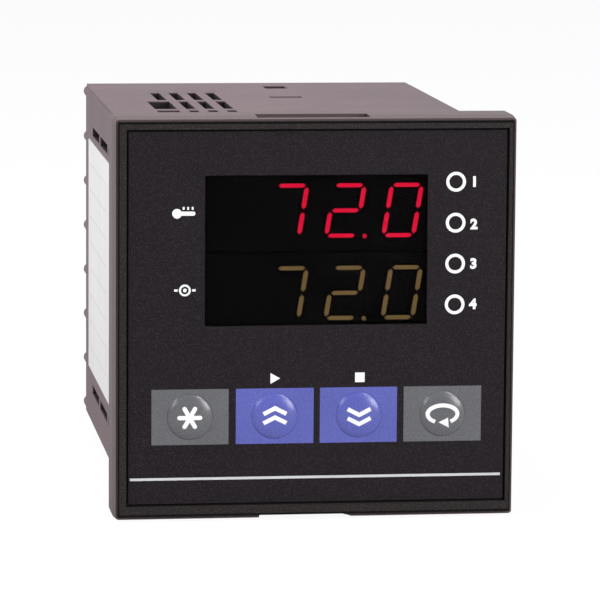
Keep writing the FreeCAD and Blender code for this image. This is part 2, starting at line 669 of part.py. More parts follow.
def vents(wall):
    """Rows of slots through the top or bottom; all rows but the rearmost begin with a wide slot."""
    cuts = []
    for row, start in enumerate(vent_starts()):
        for column in range(VENT_COLUMNS):
            across, wide = f"vent_first + {column} * vent_pitch", "vent_width"
            if column == 0 and row < VENT_ROWS - 1:
                across, wide = "wide_vent_across", "wide_vent"
            cuts.append(part_box((f"{across} - {wide} / 2", start, wall[0]),
                                 (f"{across} + {wide} / 2", f"{start} + vent_length", wall[1])))
    return cuts


def side_vents(wall):
    return [part_box((wall[0], start, f"{rise} - vent_width / 2"),
                     (wall[1], f"{start} + vent_length", f"{rise} + vent_width / 2"))
            for start in vent_starts() for rise in ("-side_vent_rise", "side_vent_rise")]


def latch_openings(wall):
    """The cover's latch window, and the narrow slot that a panel clamp hooks into."""
    window = part_box(("latch_across - latch_width / 2", "latch_start", wall[0]),
                      ("latch_across + latch_width / 2", "latch_start + latch_length", wall[1]))
    left, right = [f"clamp_slot_across {side} clamp_slot_width / 2" for side in "-+"]
    slot = part_box((left, "clamp_slot_depth", wall[0]),
                    (right, "clamp_slot_depth + clamp_slot_length", wall[1]))
    return [window, slot]


def make_rear_cover():
    cover = body("rear_cover")
    end = "case_length + cover_depth"
    inside = f"{CASE_INSIDE} / 2"
    box(cover, (f"-{RIM_OUTER}", "case_length", f"-{COVER_HALF}"), (RIM_OUTER, end, COVER_HALF))
    box(cover, (f"-{RIM_INNER}", "case_length + cover_plate", f"-{inside}"),
        (RIM_INNER, end, inside), cut=True)
    for near, far in ((f"-{RIM_INNER}", f"-{TERMINAL_INNER} + cover_window_clearance"),
                      (f"{TERMINAL_INNER} - cover_window_clearance", RIM_INNER)):
        top = f"({TERMINAL_HALF} + cover_window_clearance)"
        box(cover, (near, "case_length", f"-{top}"), (far, "case_length + cover_plate", top), cut=True)
    for across in (f"rib_radius - {COVER_HALF}", f"{COVER_HALF} - rib_radius"):
        for height in barrier_places(TERMINALS + 1):
            rod(cover, (across, "case_length", height), "rib_radius", "cover_depth")
    add_latches(cover)


def barrier_places(count):
    return [f"({RIB_PITCH} * {i - (count - 1) / 2})" for i in range(count)]


def add_latches(cover):
    """Tongues inside the case's top and bottom walls, each with a hook in the latch window."""
    left = "latch_across - latch_width / 2 + latch_clearance"
    right = "latch_across + latch_width / 2 - latch_clearance"
    for sign in ("-", ""):
        outer = f"({CASE_INSIDE} / 2 - latch_clearance)"
        levels = [f"{outer} - latch_tongue", outer, f"{CASE_INSIDE} / 2 + latch_hook"]
        if sign:
            levels = [f"-({level})" for level in levels]
        spans = ((levels[0], levels[1], "case_length + cover_plate"),
                 (levels[1], levels[2], "latch_start + latch_length - latch_clearance"))
        for near, far, rear in spans:
            low, high = (far, near) if sign else (near, far)
            box(cover, (left, "latch_start + latch_clearance", low), (right, rear, high))


def make_terminals():
    for side, sign in (("left", -1), ("right", 1)):
        block = body("terminal_block_" + side)
        xs = sorted_pair(sign, TERMINAL_INNER, TERMINAL_OUTER)
        box(block, (xs[0], TERMINAL_FRONT, f"-{TERMINAL_HALF}"), (xs[1], TERMINAL_FLOOR, TERMINAL_HALF))
        ends = [f"-{TERMINAL_HALF} + barrier_thickness / 2", f"{TERMINAL_HALF} - barrier_thickness / 2"]
        for height in barrier_places(TERMINALS + 1)[1:-1] + ends:
            box(block, (xs[0], TERMINAL_FLOOR, f"{height} - barrier_thickness / 2"),
                (xs[1], f"{TERMINAL_FLOOR} + barrier_height", f"{height} + barrier_thickness / 2"))
        across = f"({xs[0]} + {xs[1]}) / 2"
        for height in barrier_places(TERMINALS):
            rod(block, (across, f"{TERMINAL_FLOOR} + clamp_thickness - terminal_screw_length", height),
                "terminal_screw + thread_clearance", "terminal_screw_length", cut=True)
        make_clamps(side, across)
        make_terminal_screws(side, across)


def sorted_pair(sign, inner, outer):
    return (inner, outer) if sign > 0 else (f"-{outer}", f"-{inner}")


def part_box(low, high):
    made = doc.addObject("Part::Box", "Block")
    for prop, start, end in zip(("Length", "Width", "Height"), low, high):
        bind(made, prop, f"({end}) - ({start})")
    place(made, *low)
    return made


def part_rod(centre, radius, length):
    made = doc.addObject("Part::Cylinder", "Pin")
    made.Placement.Rotation = TOWARDS_Y
    bind(made, "Radius", radius)
    bind(made, "Height", length)
    place(made, *centre)
    return made


def part_cut(base, tool):
    made = doc.addObject("Part::Cut", "Cut")
    made.Base = base
    made.Tool = tool
    return made


def part_fuse(first, second):
    made = doc.addObject("Part::Fuse", "Fuse")
    made.Base = first
    made.Tool = second
    return made


def group(label, members):
    """Several identical separate solids that share one node."""
    made = doc.addObject("Part::Compound", label)
    made.Label = label
    made.Links = members
    nodes.append(made)
    return made


def make_clamps(side, across):
    clamps = []
    for height in barrier_places(TERMINALS):
        plate = part_box((f"{across} - clamp_depth / 2", TERMINAL_FLOOR, f"{height} - {CLAMP_HALF}"),
                         (f"{across} + clamp_depth / 2", f"{TERMINAL_FLOOR} + clamp_thickness",
                          f"{height} + {CLAMP_HALF}"))
        hole = part_rod((across, TERMINAL_FLOOR, height), "terminal_screw + thread_clearance",
                        "clamp_thickness")
        clamps.append(part_cut(plate, hole))
    group("terminal_clamps_" + side, clamps)


def slotted_screw(across, seat, height, radius, length, head, cap, slot, deep):
    """A screw whose head bears on a face at depth seat and whose shank runs towards -Y."""
    shank = part_rod((across, f"{seat} - ({length})", height), radius, length)
    top = part_rod((across, seat, height), head, cap)
    groove = part_box((f"{across} - ({head})", f"{seat} + {cap} - {deep}", f"{height} - {slot} / 2"),
                      (f"{across} + ({head})", f"{seat} + {cap}", f"{height} + {slot} / 2"))
    return part_fuse(shank, part_cut(top, groove))


def make_terminal_screws(side, across):
    seat = f"({TERMINAL_FLOOR} + clamp_thickness)"
    screws = [slotted_screw(across, seat, height, "terminal_screw",
                            "terminal_screw_length", TERMINAL_HEAD,
                            "terminal_head_height", "terminal_slot", "terminal_slot_depth")
              for height in barrier_places(TERMINALS)]
    group("terminal_screws_" + side, screws)


def make_board_screws():
    screws = [slotted_screw(x, BOARD_BACK, z, "post_screw", "post_screw_length", "post_screw_head",
                            "post_screw_cap", "terminal_slot", "post_screw_cap / 2")
              for x in ("-" + POST_AT, POST_AT) for z in ("-" + POST_AT, POST_AT)]
    group("display_board_screws", screws)


def make_label():
    """A blank label that lies on the left wall, which leans inwards towards the rear."""
    label = doc.addObject("Part::Box", "side_label")
    label.Label = "side_label"
    bind(label, "Length", "label_thickness")
    bind(label, "Width", "label_length")
    bind(label, "Height", "label_height")
    lean = f"({TAPER})"
    place(label, f"label_start * tan{lean} - {CASE_FRONT} / 2 - label_thickness * cos{lean}",
          f"label_start + label_thickness * sin{lean}", "label_rise - label_height / 2")
    bind(label, "Placement.Rotation.Angle", f"-{lean}")
    nodes.append(label)


# ---------------------------------------------------------------- document

def check():
    doc.recompute()
    for thing in doc.Objects:
        if "Invalid" in thing.State or "Error" in thing.State:
            raise RuntimeError("%s failed: %s" % (thing.Label, thing.State))
    for node in nodes:
        if node.Shape.isNull() or not node.Shape.isValid():
            raise RuntimeError("%s has no valid shape" % node.Label)


def export():
    os.makedirs("parts", exist_ok=True)
    for node in nodes:
        node.Shape.exportStep("parts/%s.step" % node.Label)


make_bezel()
make_film()
make_window()
make_keys()
make_key_switches()
make_lights()
make_displays()
make_display_board()
make_board_screws()
make_side_board("power_board", "-")
make_side_board("logic_board", "")
make_headers()
make_transformer()
make_power_parts()
make_logic_parts()
make_case()
make_rear_cover()
make_terminals()
make_label()
check()
export()
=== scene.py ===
"""Looks of a panel-mounted process temperature controller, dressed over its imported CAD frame.

Lengths are millimetres until they reach a mesh or a material, where MM turns them into metres. The stage,
the lights and the camera are in metres.
+X is to the right of someone facing the display, +Y is into the panel and +Z is up.
"""
import math

import bmesh
import bpy
from mathutils import Euler, Matrix, Vector
from mathutils.geometry import tessellate_polygon


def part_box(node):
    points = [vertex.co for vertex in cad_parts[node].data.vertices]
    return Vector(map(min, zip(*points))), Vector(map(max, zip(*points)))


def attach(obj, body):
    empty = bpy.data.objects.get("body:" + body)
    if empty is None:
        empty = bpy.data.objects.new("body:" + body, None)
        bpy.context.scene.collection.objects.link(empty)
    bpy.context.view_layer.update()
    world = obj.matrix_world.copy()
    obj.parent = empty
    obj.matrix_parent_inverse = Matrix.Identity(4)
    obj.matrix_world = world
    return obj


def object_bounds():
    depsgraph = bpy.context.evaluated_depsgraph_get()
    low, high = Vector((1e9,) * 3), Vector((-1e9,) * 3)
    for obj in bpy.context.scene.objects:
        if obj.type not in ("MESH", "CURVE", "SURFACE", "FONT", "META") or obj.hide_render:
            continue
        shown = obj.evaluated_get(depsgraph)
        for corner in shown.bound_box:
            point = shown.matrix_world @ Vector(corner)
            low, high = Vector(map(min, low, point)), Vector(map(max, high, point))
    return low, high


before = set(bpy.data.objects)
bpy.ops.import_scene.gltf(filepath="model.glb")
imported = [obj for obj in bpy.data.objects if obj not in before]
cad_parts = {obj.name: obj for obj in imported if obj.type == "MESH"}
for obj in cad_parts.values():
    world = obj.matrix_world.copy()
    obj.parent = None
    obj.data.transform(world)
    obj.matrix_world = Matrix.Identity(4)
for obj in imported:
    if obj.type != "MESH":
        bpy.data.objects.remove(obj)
cad_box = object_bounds()


# ---------------------------------------------------------------- sizes and places

MM = 0.001
ROOT = "controller"


def box_mm(node):
    """Lowest and highest corner of a CAD node, in millimetres."""
    return [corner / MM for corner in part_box(node)]


def centre(node):
    """Centre of a CAD node, in millimetres."""
    low, high = box_mm(node)
    return (low + high) / 2


FILM_LOW, FILM_HIGH = box_mm("front_film")
INK = 0.02                          # thickness of a printed layer
PRINT_FACE = FILM_LOW.y - 0.03      # front of the print on the flat film

BEZEL_FACE = box_mm("bezel")[0].y
BEZEL_HALF = box_mm("bezel")[1].x   # half the bezel's width
# Painted shade: dark frames stand for the shade along the step round the bezel's face and in the gap round
# the film.
RIM_SHADE_OUTER = (-47.04, 47.02, -46.85, 47.02)     # left, right, low, high
RIM_SHADE_INNER = (-46.72, 46.76, -46.38, 46.48)
FILM_SHADE_OUTER = 0.52              # how far the painted shade round the film reaches past the film
FILM_SHADE_SIDE = 0.10               # how far past the film that painted shade starts, at the left and right
FILM_SHADE_END = 0.04                # and the same at the bottom and top

LINE = (-44.2, 44.7, -38.25, -37.63)                # the pale line under the keys: left, right, low, high

KEY_COLOURS = {"setup": "grey_key", "up": "blue_key", "down": "blue_key", "enter": "grey_key"}
KEY_CENTRES = {key: centre("key_" + key) for key in KEY_COLOURS}
PADS = {"setup": (-39.08, -20.74), "up": (-19.01, -0.43), "down": (1.07, 19.58), "enter": (21.19, 39.88)}
PAD_LOW, PAD_HIGH = -29.75, -16.46
PAD_CLEARANCE = 0.03                # between a pad's hole and its dome
DOME_RADIUS = 5.45
DOME_HEIGHT = 1.03
# The dome's rings, closer together where it falls off.
DOME_RINGS = (0.6, 1.3, 2.0, 2.7, 3.3, 3.8, 4.2, 4.5, 4.75, 4.95, 5.1, 5.22, 5.32, 5.39, 5.43, DOME_RADIUS)
DOME_SKIRT = 0.25                   # how deep the dome's edge reaches behind the film's front

SIGN_Z = -14.1                      # middle of the signs over the two blue keys
SIGN_WIDTH = 2.3
START_LEFT, START_HEIGHT = -10.8, 2.6
STOP_LEFT = 9.45
THERMOMETER = (-34.3, 25.6)         # left end and height
TARGET = (-33.8, 7.15)

STATUS_LIGHTS = range(1, 5)
RING_OUTER, RING_INNER = 2.37, 1.62
NUMBER_OFFSET = 4.4                 # from a light's centre to its number
NUMBER_HEIGHT = 2.3

DIGIT_PLANE = box_mm("display_upper")[0].y
DIGIT_PITCH = 13.7
DIGIT_HEIGHT = 13.0
DIGIT_WIDTH = 8.3
BAR_ACROSS = 1.0                    # level segments
BAR_UP = 1.15                       # upright segments
BAR_GAP = 0.3
DIGIT_PLACES = 4
POINT_RADIUS = 0.62
POINT_GAP = 0.5                     # from a digit's side to its point's centre
POINT_RISE = 0.35                   # from a digit's foot to its point's centre
SLANT = math.tan(math.radians(9.0))

CASE_HALF, CASE_REAR = box_mm("case")[1].xy
CASE_DRAW = 0.3                     # how far each wall of the case leans in from front to rear
LEAN = CASE_DRAW / CASE_REAR
LABEL_FACE, LABEL_FRONT = box_mm("side_label")[0].xy
TABLE_LOW, TABLE_HIGH = -23.3, 25.1
TABLE_FRONT, TABLE_REAR = 52.0, 103.7
TABLE_COLUMN = 20.0
TABLE_ROWS = 7

FLOOR = cad_box[0].z - 0.1 * MM     # just under the bezel, so that the two faces do not coincide
CAMERA_PLACE = (-0.13011, -0.96784, 0.13768)
CAMERA_TURN = (82.1249, -0.4108, -7.4814)           # degrees about X, Y and Z
LIGHTS = {                          # place, aim, (width, height) and watts
    "key_light": ((0.72, -0.80, 1.02), (0, 0, 0), (0.42, 0.42), 7.5),
    "front_light": ((0.82, -0.94, 0.34), (0, 0, 0), (0.50, 0.50), 10.0),
    "fill_light": ((-0.66, -0.95, 0.46), (0, 0, 0), (0.16, 0.30), 2.4),
    "top_light": ((-0.10, 0.45, 1.30), (0, 0.05, 0), (1.00, 1.00), 10.5),
    "left_light": ((-0.55, -0.10, 0.45), (0, 0.04, 0), (0.25, 0.25), 3.5),
}


# ---------------------------------------------------------------- material nodes

def material(name, color, rough=0.5, **sockets):
    """A Principled material with constant sockets. Returns (material, node tree, shader)."""
    made = bpy.data.materials.new(name)
    made.use_nodes = True
    shader = made.node_tree.nodes["Principled BSDF"]
    shader.inputs["Base Color"].default_value = (*color, 1.0)
    shader.inputs["Roughness"].default_value = rough
    for socket, value in sockets.items():
        shader.inputs[socket.replace("_", " ")].default_value = value
    return made, made.node_tree, shader


def noise(tree, scale, detail=3.0, rough=0.55, stretch=(1, 1, 1)):
    """Noise in object space; scale counts features per metre."""
    coords = tree.nodes.new("ShaderNodeTexCoord")
    mapping = tree.nodes.new("ShaderNodeMapping")
    mapping.inputs["Scale"].default_value = stretch
    texture = tree.nodes.new("ShaderNodeTexNoise")
    texture.inputs["Scale"].default_value = scale
    texture.inputs["Detail"].default_value = detail
    texture.inputs["Roughness"].default_value = rough
    tree.links.new(coords.outputs["Object"], mapping.inputs["Vector"])
    tree.links.new(mapping.outputs["Vector"], texture.inputs["Vector"])
    return texture.outputs["Fac"]


def ramp(tree, factor, stops):
    """Colour ramp through (position, colour) stops."""
    made = tree.nodes.new("ShaderNodeValToRGB")
    points = made.color_ramp.elements
    while len(points) < len(stops):
        points.new(0.5)
    for point, (place, color) in zip(points, stops):
        point.position = place
        point.color = (*color, 1.0)
    tree.links.new(factor, made.inputs["Fac"])
    return made.outputs["Color"]


def spread(tree, factor, low, high, start=0.3, stop=0.7):
    """A factor remapped from start..stop to low..high, and held at the ends."""
    made = tree.nodes.new("ShaderNodeMapRange")
    made.inputs["From Min"].default_value = start
    made.inputs["From Max"].default_value = stop
    made.inputs["To Min"].default_value = low
    made.inputs["To Max"].default_value = high
    tree.links.new(factor, made.inputs["Value"])
    return made.outputs["Result"]


def rise(tree, length, low, high):
    """0 where a length is low or less, 1 where it is high or more, both in millimetres."""
    return spread(tree, length, 0.0, 1.0, low * MM, high * MM)


def fall(tree, length, low, high):
    """1 where a length is low or less, 0 where it is high or more, both in millimetres."""
    return spread(tree, length, 1.0, 0.0, low * MM, high * MM)


def calculate(tree, operation, *terms):
    """The result of a Math node; each term is another node's output or a plain number."""
    made = tree.nodes.new("ShaderNodeMath")
    made.operation = operation
    for socket, term in zip(made.inputs, terms):
        if isinstance(term, float):
            socket.default_value = term
        else:
            tree.links.new(term, socket)
    return made.outputs[0]


def blend(tree, factor, first, color):
    """The first colour output where the factor is 0, and a plain colour where it is 1."""
    mix = tree.nodes.new("ShaderNodeMix")
    mix.data_type = "RGBA"
    tree.links.new(factor, mix.inputs["Factor"])
    tree.links.new(first, mix.inputs["A"])
    mix.inputs["B"].default_value = (*color, 1.0)
    return mix.outputs["Result"]


def bump(tree, shader, height, depth):
    """Bump from a height output, over a depth in millimetres."""
    made = tree.nodes.new("ShaderNodeBump")
    made.inputs["Distance"].default_value = depth * MM
    tree.links.new(height, made.inputs["Height"])
    tree.links.new(made.outputs["Normal"], shader.inputs["Normal"])


def position(tree):
    """The surface point's X, Y and Z outputs in the object's own frame, in metres."""
    coords = tree.nodes.new("ShaderNodeTexCoord")
    parts = tree.nodes.new("ShaderNodeSeparateXYZ")
    tree.links.new(coords.outputs["Object"], parts.inputs[0])
    return [parts.outputs[axis] for axis in "XYZ"]


def off_axis(tree, x, z):
    """How far a point lies from the Y axis, measured square: the larger of |x| and |z|."""
    return calculate(tree, "MAXIMUM", calculate(tree, "ABSOLUTE", x), calculate(tree, "ABSOLUTE", z))


# ---------------------------------------------------------------- zones of another colour, and of painted shade

def bezel_sides(tree):
    """1 on the bezel's outer sides, 0 on the textured face of its rim and in its notches."""
    x, y, z = position(tree)
    behind = rise(tree, y, BEZEL_FACE + 0.15, BEZEL_FACE + 0.40)
    outside = rise(tree, off_axis(tree, x, z), BEZEL_HALF - 1.0, BEZEL_HALF - 0.8)
    return calculate(tree, "MULTIPLY", behind, outside)


def within_wall(tree):
    """Painted shade: 1 on the case's inner faces and in its openings, which are painted dark as shade, 0 on
    its outer faces, which lean inwards.
    """
    x, y, z = position(tree)
    upright = calculate(tree, "MULTIPLY_ADD", y, LEAN, off_axis(tree, x, z))
    return fall(tree, upright, CASE_HALF - 0.35, CASE_HALF - 0.15)


def latch_tongue(tree):
    """Painted shade: 1 on the rear cover's latches, which lie inside the case and are painted dark as shade,
    and 0 on the cover itself.
    """
    x, y, z = position(tree)
    return fall(tree, y, CASE_REAR - 1.2, CASE_REAR - 0.4)


# ---------------------------------------------------------------- materials

def grained(name, color, rough=0.5, vary=0.10, grain=1500.0, cloud=90.0, depth=0.01, speck=None, zone=None,
            **sockets):
    """Moulded or printed surface: cloudy tone, fine grain, optional specks and a zone of another colour, or
    of painted shade.

    grain and cloud count features per metre, and depth is the grain's bump in millimetres.
    """
    made, tree, shader = material(name, color, rough, **sockets)
    dark = [c * (1 - vary) for c in color]
    light = [min(1.0, c * (1 + vary)) for c in color]
    fine = noise(tree, grain, detail=2.0)
    base = ramp(tree, noise(tree, cloud), [(0.3, dark), (0.7, light)])
    if speck:
        points = ramp(tree, fine, [(0.5, (0, 0, 0)), (0.72, (1, 1, 1))])
        base = blend(tree, points, base, speck)
    if zone:
        where, tone = zone
        base = blend(tree, where(tree), base, tone)
    tree.links.new(base, shader.inputs["Base Color"])
    tree.links.new(spread(tree, fine, rough - 0.06, rough + 0.06), shader.inputs["Roughness"])
    bump(tree, shader, fine, depth)
    return made


def brushed(name, color, rough=0.32, stretch=(1, 1, 14)):
    """Plated or cut metal with fine lines along one direction."""
    made, tree, shader = material(name, color, rough, Metallic=1.0)
    lines = noise(tree, 900.0, 4.0, 0.6, stretch)
    dark = [c * 0.8 for c in color]
    tree.links.new(ramp(tree, lines, [(0.3, dark), (0.7, color)]), shader.inputs["Base Color"])
    tree.links.new(spread(tree, lines, rough - 0.1, rough + 0.12), shader.inputs["Roughness"])
    bump(tree, shader, lines, 0.02)
    return made


def glowing(name, color, strength, unlit):
    """A display segment: tinted plastic whose glow falls off from its middle line, as "glow" says."""
    made, tree, shader = material(name, unlit, 0.35)
    shader.inputs["Emission Strength"].default_value = strength
    heat = tree.nodes.new("ShaderNodeAttribute")
    heat.attribute_name = "glow"
    faint = [c * 0.12 for c in color]
    tree.links.new(ramp(tree, heat.outputs["Fac"], [(0.0, faint), (1.0, color)]),
                   shader.inputs["Emission Color"])
    return made


def smoked(name, thin, dense):
    """Smoked clear plastic, glossy, whose tone drifts between a thin and a dense colour."""
    made, tree, shader = material(name, thin, 0.0, Transmission_Weight=1.0, IOR=1.1)
    tone = noise(tree, 40.0, 1.0)
    tree.links.new(ramp(tree, tone, [(0.3, dense), (0.7, thin)]), shader.inputs["Base Color"])
    return made


def hazy(name, color, clear, dull, grain, transmission):
    """Clear plastic or glass whose roughness drifts between a clear and a dull value."""
    made, tree, shader = material(name, color, clear, Transmission_Weight=transmission, IOR=1.5)
    tree.links.new(spread(tree, noise(tree, grain, 2.0), clear, dull), shader.inputs["Roughness"])
    return made


PLUM_PLASTIC = dict(color=(0.100, 0.059, 0.070), rough=0.55, vary=0.20, cloud=32.0, depth=0.08,
                    speck=(0.143, 0.100, 0.112), Specular_IOR_Level=0.35)
SHADE = (0.012, 0.008, 0.009)       # the plum plastic where only shade is seen
KEY_FILM = dict(rough=0.26, vary=0.05, grain=5000.0, cloud=120.0, depth=0.002)

MATS = {
    "bezel": grained("bezel_plastic", (0.010, 0.006, 0.006), vary=0.14, grain=2500.0, cloud=60.0, depth=0.06,
                     speck=(0.046, 0.038, 0.040), zone=(bezel_sides, (0.088, 0.059, 0.061)),
                     Specular_IOR_Level=0.25),
    # painted shade: the case's plum plastic is darkened on its inner faces and in its openings
    "case": grained("case_plastic", zone=(within_wall, SHADE), **PLUM_PLASTIC),
    # painted shade: the cover's plum plastic is darkened on its latches, which lie inside the case
    "cover": grained("cover_plastic", zone=(latch_tongue, SHADE), **PLUM_PLASTIC),
    "film": grained("film_charcoal", (0.010, 0.007, 0.009), 0.55, 0.08, grain=3400.0, depth=0.03,
                    speck=(0.031, 0.026, 0.031), Specular_IOR_Level=0.12),
    # painted shade: a flat black for the shade round the bezel's face and round the film
    "frame_shade": grained("shade_black", (0.004, 0.004, 0.004), 0.8, depth=0.02, Specular_IOR_Level=0.1),
    "grey_key": grained("key_grey", (0.112, 0.113, 0.124), **KEY_FILM),
    "blue_key": grained("key_blue", (0.092, 0.104, 0.400), **KEY_FILM),
    "white_print": grained("print_white", (0.86, 0.86, 0.87), vary=0.03),
    "grey_print": grained("print_grey", (0.58, 0.58, 0.60), vary=0.03),
    "label": grained("label_foil", (0.74, 0.72, 0.73), 0.42, 0.03, cloud=40.0),
    "label_ink": grained("label_ink", (0.58, 0.55, 0.58), vary=0.05, cloud=60.0),
    "red": glowing("segment_red", (0.84, 0.002, 0.040), 2.0, (0.10, 0.003, 0.006)),
    "amber": glowing("segment_amber", (0.185, 0.125, 0.040), 1.7, (0.03, 0.02, 0.01)),
    "unlit": grained("segment_unlit", (0.004, 0.003, 0.003), 0.6, 0.08, grain=900.0, cloud=200.0,
                     Specular_IOR_Level=0.1),
    "reflector": grained("reflector_black", (0.003, 0.003, 0.003), 0.7, grain=1800.0, depth=0.03,
                         Specular_IOR_Level=0.1),
    "board": grained("board_green", (0.020, 0.120, 0.045), 0.38, 0.15, grain=500.0, cloud=160.0, depth=0.02),
    "relay": grained("relay_blue", (0.035, 0.110, 0.420), 0.36, 0.06, grain=1600.0, depth=0.02),
    "coil": grained("coil_tape", (0.62, 0.42, 0.05), 0.40, grain=700.0, depth=0.03),
    "capacitor": grained("capacitor_sleeve", (0.022, 0.022, 0.035), 0.30, 0.08, grain=900.0),
    "chip": grained("chip_black", (0.020, 0.020, 0.022), 0.55, grain=2000.0, depth=0.03),
    "terminal": grained("terminal_plastic", (0.026, 0.025, 0.026), 0.42, grain=1800.0, cloud=60.0,
                        depth=0.05),
    "steel": brushed("plated_steel", (0.62, 0.62, 0.63)),
    "laminations": brushed("core_laminations", (0.30, 0.30, 0.32), 0.42, (16, 1, 1)),
    "brass": brushed("contact_brass", (0.70, 0.50, 0.20), 0.30, (1, 10, 1)),
    "window": smoked("window_smoke", thin=(0.44, 0.42, 0.44), dense=(0.40, 0.38, 0.40)),
    "lamp": hazy("lamp_clear", (0.75, 0.70, 0.70), clear=0.10, dull=0.25, grain=700.0, transmission=0.6),
    "fuse": hazy("fuse_glass", (0.86, 0.90, 0.90), clear=0.03, dull=0.12, grain=300.0, transmission=1.0),
}

NODES = {
    "bezel": ["bezel"],
    "case": ["case"],
    "cover": ["rear_cover"],
    "film": ["front_film"],
    "window": ["display_window"],
    "grey_key": ["key_setup", "key_enter"],
    "blue_key": ["key_up", "key_down"],
    "lamp": [f"status_light_{number}" for number in STATUS_LIGHTS],
    "reflector": ["display_upper", "display_lower"],
    "unlit": ["display_upper_lens", "display_lower_lens"],
    "board": ["display_board", "power_board", "logic_board"],
    "chip": (["power_header", "logic_header", "controller_chip", "optocoupler_1", "optocoupler_2"]
             + [part + key for part in ("plunger_", "key_switch_") for key in KEY_COLOURS]),
    "steel": ["crystal", "display_board_screws", "terminal_clamps_left", "terminal_clamps_right",
              "terminal_screws_left", "terminal_screws_right"],
    "laminations": ["transformer_core"],
    "coil": ["transformer_coil"],
    "relay": ["relay_1", "relay_2"],
    "capacitor": ["reservoir_capacitor", "filter_capacitor"],
    "fuse": ["fuse"],
    "brass": ["fuse_clip_front", "fuse_clip_rear"],
    "terminal": ["terminal_block_left", "terminal_block_right"],
    "label": ["side_label"],
}


def dress_nodes():
    """Give every CAD node its material."""
    for mat, names in NODES.items():
        for name in names:
            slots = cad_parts[name].data.materials
            slots.clear()
            slots.append(MATS[mat])


# ---------------------------------------------------------------- outlines, as loops of (x, z)

def rectangle(left, right, low, high):
    return [(left, low), (right, low), (right, high), (left, high)]


def arc(cx, cz, rx, rz, start=0.0, stop=360.0, count=64):
    """Points of an elliptical arc, angles in degrees, without the closing point of a full turn."""
    full = abs(stop - start) >= 360.0
    steps = count if full else count - 1
    angles = [math.radians(start + (stop - start) * i / steps) for i in range(count)]
    return [(cx + rx * math.cos(a), cz + rz * math.sin(a)) for a in angles]


def circle(cx, cz, radius, count=64):
    return arc(cx, cz, radius, radius, count=count)


def stroke(points, width):
    """Outline of an open polyline of even width with mitred corners and square ends."""
    left, right = [], []
    for i, (x, z) in enumerate(points):
        near = [points[k] for k in (i - 1, i, i + 1) if 0 <= k < len(points)]
        ways = [Vector((bx - ax, bz - az)).normalized() for (ax, az), (bx, bz) in zip(near, near[1:])]
        way = sum(ways, Vector((0, 0))).normalized()
        half = width / 2 / max(0.3, way.dot(ways[0]))
        left.append((x - way.y * half, z + way.x * half))
        right.append((x + way.y * half, z - way.x * half))
    return left + right[::-1]


# ---------------------------------------------------------------- meshes

def add_piece(name, mesh, mat, body, smooth):
    made = bpy.data.objects.new(name, mesh)
    bpy.context.scene.collection.objects.link(made)
    mesh.materials.append(MATS[mat])
    for face in mesh.polygons:
        face.use_smooth = smooth
    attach(made, body)


def add_mesh(name, bm, mat, body=ROOT, smooth=False):
    """Turn a bmesh in millimetres into a piece."""
    for vert in bm.verts:
        vert.co *= MM
    mesh = bpy.data.meshes.new(name)
    bm.to_mesh(mesh)
    bm.free()
    add_piece(name, mesh, mat, body, smooth)


def flat(y):
    """Surface function of a flat face at one depth."""
    return lambda x, z: y


def plates(name, shapes, mat, body=ROOT, surface=flat(PRINT_FACE), cuts=0):
    """Thin closed plates whose fronts follow a surface. A shape is a list of loops: outline, then holes."""
    bm = bmesh.new()
    for loops in shapes:
        corners = [bm.verts.new((x, 0, z)) for loop in loops for x, z in loop]
        for triangle in tessellate_polygon([[Vector((x, z, 0)) for x, z in loop] for loop in loops]):
            bm.faces.new([corners[i] for i in triangle])
    if cuts:
        bmesh.ops.subdivide_edges(bm, edges=bm.edges[:], cuts=cuts, use_grid_fill=True)
    bmesh.ops.recalc_face_normals(bm, faces=bm.faces[:])
    for face in bm.faces:
        if face.normal.y > 0:
            face.normal_flip()
    for vert in bm.verts:
        vert.co.y = surface(vert.co.x, vert.co.z)
    made = bmesh.ops.extrude_face_region(bm, geom=bm.faces[:], use_keep_orig=True)
    for item in made["geom"]:
        if isinstance(item, bmesh.types.BMVert):
            item.co.y += INK
    bmesh.ops.recalc_face_normals(bm, faces=bm.faces[:])
    add_mesh(name, bm, mat, body)


def numeral(name, character, x, z, height):
    """A bold plain number on the film, set from Blender's own font, centred on (x, z)."""
    data = bpy.data.curves.new(name, "FONT")
    data.body = character
    data.align_x = "CENTER"
    data.align_y = "CENTER"
    data.size = height * 1.42       # the font's figures are about 0.7 of its size
    data.offset = height * 0.075    # makes the strokes bold
    data.extrude = INK / 2
    holder = bpy.data.objects.new(name + "_text", data)
    bpy.context.scene.collection.objects.link(holder)
    bpy.context.view_layer.update()
    mesh = bpy.data.meshes.new_from_object(holder)
    bpy.data.objects.remove(holder)
    bpy.data.curves.remove(data)
    middle = sum(v.co.y for v in mesh.vertices) / len(mesh.vertices)
    for vert in mesh.vertices:
        across, up, out = vert.co
        vert.co = Vector((x + across, PRINT_FACE + INK / 2 - out, z + up - middle)) * MM
    mesh.name = name
    mesh.materials.clear()
    add_piece(name, mesh, "white_print", ROOT, smooth=False)


# ---------------------------------------------------------------- seams and print on the front

def add_seams():
    """Painted shade: thin black square frames on the bezel's face and on the pocket's floor round the film,
    for the shade along the step round the bezel's face and in the gap round the film.
    """
    edges = (FILM_LOW.x, FILM_HIGH.x, FILM_LOW.z, FILM_HIGH.z)
    ways = (-1, 1, -1, 1)
    starts = (FILM_SHADE_SIDE, FILM_SHADE_SIDE, FILM_SHADE_END, FILM_SHADE_END)
    outer = [edge + way * FILM_SHADE_OUTER for edge, way in zip(edges, ways)]
    inner = [edge + way * start for edge, way, start in zip(edges, ways, starts)]
    plates("rim_shade", [[rectangle(*RIM_SHADE_OUTER), rectangle(*RIM_SHADE_INNER)]], "frame_shade",
           surface=flat(BEZEL_FACE - INK))
    plates("film_shade", [[rectangle(*outer), rectangle(*inner)]], "frame_shade", surface=flat(FILM_HIGH.y - INK))


